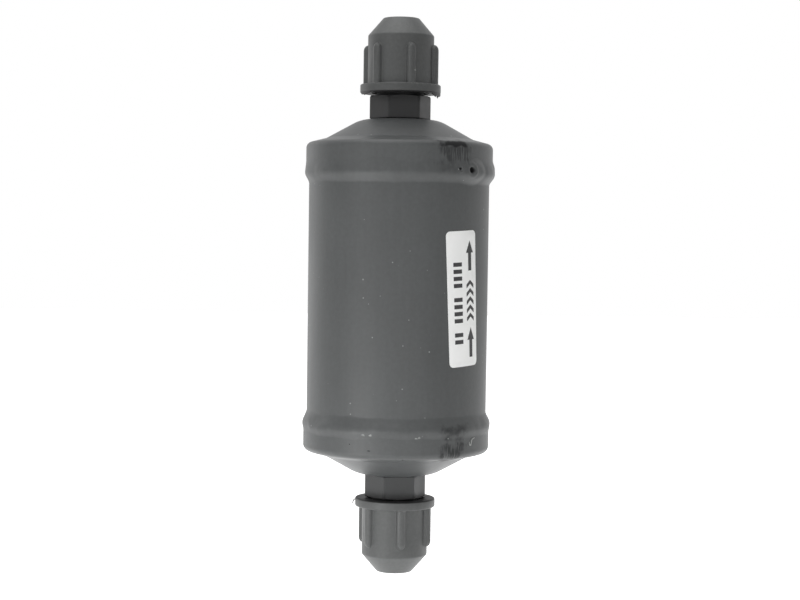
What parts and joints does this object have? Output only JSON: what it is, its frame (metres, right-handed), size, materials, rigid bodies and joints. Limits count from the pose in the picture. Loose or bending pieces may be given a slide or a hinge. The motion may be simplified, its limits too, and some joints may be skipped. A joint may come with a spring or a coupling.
{
  "type": "filter drier",
  "caption": "Welded steel refrigerant filter drier with a hexagon flare fitting and a ribbed screw-on sealing cap at each end, a desiccant core and spring inside, and a side label.",
  "frame": {"origin": "middle of the can, on its axis", "axes": "+Z along the can's axis towards the outlet, -Y towards the front, +X to the right with the label in front of it"},
  "size_m": [0.0568, 0.0568, 0.1663],
  "materials": {
    "can_paint": "dark grey powder coat, semi-matt",
    "fitting_paint": "dark grey powder coat, threads bare",
    "braze": "copper brazing metal",
    "cap_plastic": "moulded dark grey polyethylene",
    "seal_rubber": "black rubber",
    "spring_steel": "drawn spring wire",
    "plate_steel": "plain pressed sheet",
    "felt": "polyester felt",
    "desiccant": "bonded molecular sieve",
    "collar_fibre": "pressed fibre",
    "label_film": "white printed label"
  },
  "bodies": {
    "drier_body": {"shell_tube": "can_paint", "outlet_end_cap": "can_paint", "inlet_end_cap": "can_paint", "outlet_weld_bead": "can_paint", "inlet_weld_bead": "can_paint", "outlet_flare_fitting": "fitting_paint", "inlet_flare_fitting": "fitting_paint", "outlet_braze_ring": "braze", "inlet_braze_ring": "braze", "compression_spring": "spring_steel", "pressure_plate": "plate_steel", "inlet_filter_pad": "felt", "desiccant_core": "desiccant", "core_collar": "collar_fibre", "outlet_filter_mat": "felt", "outlet_screen": "plate_steel", "support_plate": "plate_steel", "flow_label": "label_film"},
    "outlet_seal_body": {"outlet_cap_seal": "seal_rubber"},
    "outlet_cap_body": {"outlet_sealing_cap": "cap_plastic"},
    "inlet_seal_body": {"inlet_cap_seal": "seal_rubber"},
    "inlet_cap_body": {"inlet_sealing_cap": "cap_plastic"}
  },
  "joints": [
    {"name": "outlet_cap_lift", "type": "slide", "parent": "drier_body", "child": "outlet_seal_body", "axis": [0, 0, 1], "range_m": [-0.00048, 0.00942]},
    {"name": "outlet_cap_turn", "type": "hinge", "parent": "outlet_seal_body", "child": "outlet_cap_body", "pos_m": [0, 0, 0.07], "axis": [0, 0, 1], "range_deg": [-120, 2400]},
    {"name": "inlet_cap_lift", "type": "slide", "parent": "drier_body", "child": "inlet_seal_body", "axis": [0, 0, -1], "range_m": [0, 0.00989]},
    {"name": "inlet_cap_turn", "type": "hinge", "parent": "inlet_seal_body", "child": "inlet_cap_body", "pos_m": [0, 0, -0.07], "axis": [0, 0, -1], "range_deg": [0, 2520]}
  ],
  "couplings": [
    {"joint": "outlet_cap_lift", "follows": "outlet_cap_turn", "m_per_rad": 0.00022459},
    {"joint": "inlet_cap_lift", "follows": "inlet_cap_turn", "m_per_rad": 0.00022459}
  ]
}
